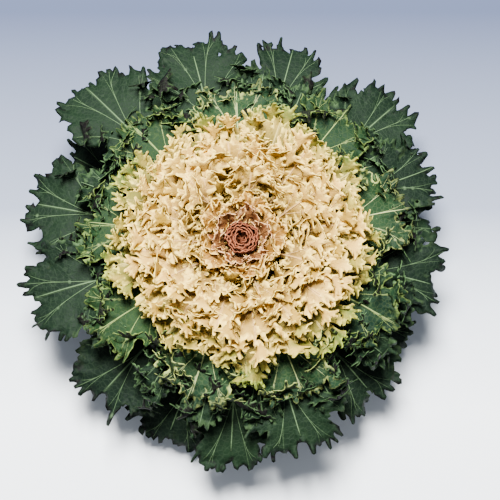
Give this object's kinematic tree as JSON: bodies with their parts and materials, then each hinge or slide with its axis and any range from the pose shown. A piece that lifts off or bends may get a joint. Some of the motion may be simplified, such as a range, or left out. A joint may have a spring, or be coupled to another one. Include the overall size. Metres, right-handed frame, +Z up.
{
  "type": "ornamental kale plant",
  "caption": "Feather-leaved ornamental kale head: spreading dark green fringed leaves round a cream, frilled rosette with a closed pink-brown heart, on a cut stem.",
  "frame": {"origin": "centre of the stem's flat cut face, on the surface that the head rests on", "axes": "+Z up along the stem, +X to the right and +Y to the top of the picture of the head seen from above"},
  "size_m": [0.3055, 0.3208, 0.1145],
  "materials": {
    "green": "satin deep green leaf with pale veins",
    "variegated": "satin green leaf with cream veins and patches",
    "cream": "soft satin cream leaf",
    "heart": "soft satin tan to pink-brown leaf",
    "stem": "matt pale green stem"
  },
  "bodies": {
    "root": {"green_leaf_01": "green", "green_leaf_02": "green", "green_leaf_03": "green", "green_leaf_04": "green", "green_leaf_05": "green", "green_leaf_06": "green", "green_leaf_07": "green", "green_leaf_08": "green", "green_leaf_09": "green", "green_leaf_10": "green", "green_leaf_11": "green", "green_leaf_12": "green", "green_leaf_13": "green", "green_leaf_14": "green", "green_leaf_15": "green", "green_leaf_16": "green", "green_leaf_17": "green", "green_leaf_18": "green", "green_leaf_19": "green", "green_leaf_20": "green", "frilled_leaf_01": "variegated", "frilled_leaf_02": "variegated", "frilled_leaf_03": "variegated", "frilled_leaf_04": "variegated", "frilled_leaf_05": "variegated", "frilled_leaf_06": "variegated", "frilled_leaf_07": "variegated", "frilled_leaf_08": "variegated", "frilled_leaf_09": "variegated", "cream_outer_leaf_01": "cream", "cream_outer_leaf_02": "cream", "cream_outer_leaf_03": "cream", "cream_outer_leaf_04": "cream", "cream_outer_leaf_05": "cream", "cream_outer_leaf_06": "cream", "cream_outer_leaf_07": "cream", "cream_outer_leaf_08": "cream", "cream_outer_leaf_09": "cream", "cream_middle_leaf_01": "cream", "cream_middle_leaf_02": "cream", "cream_middle_leaf_03": "cream", "cream_middle_leaf_04": "cream", "cream_middle_leaf_05": "cream", "cream_middle_leaf_06": "cream", "cream_middle_leaf_07": "cream", "cream_middle_leaf_08": "cream", "cream_inner_leaf_01": "cream", "cream_inner_leaf_02": "cream", "cream_inner_leaf_03": "cream", "cream_inner_leaf_04": "cream", "cream_inner_leaf_05": "cream", "cream_inner_leaf_06": "cream", "cream_inner_leaf_07": "cream", "heart": "heart", "stem": "stem"}
  },
  "joints": []
}
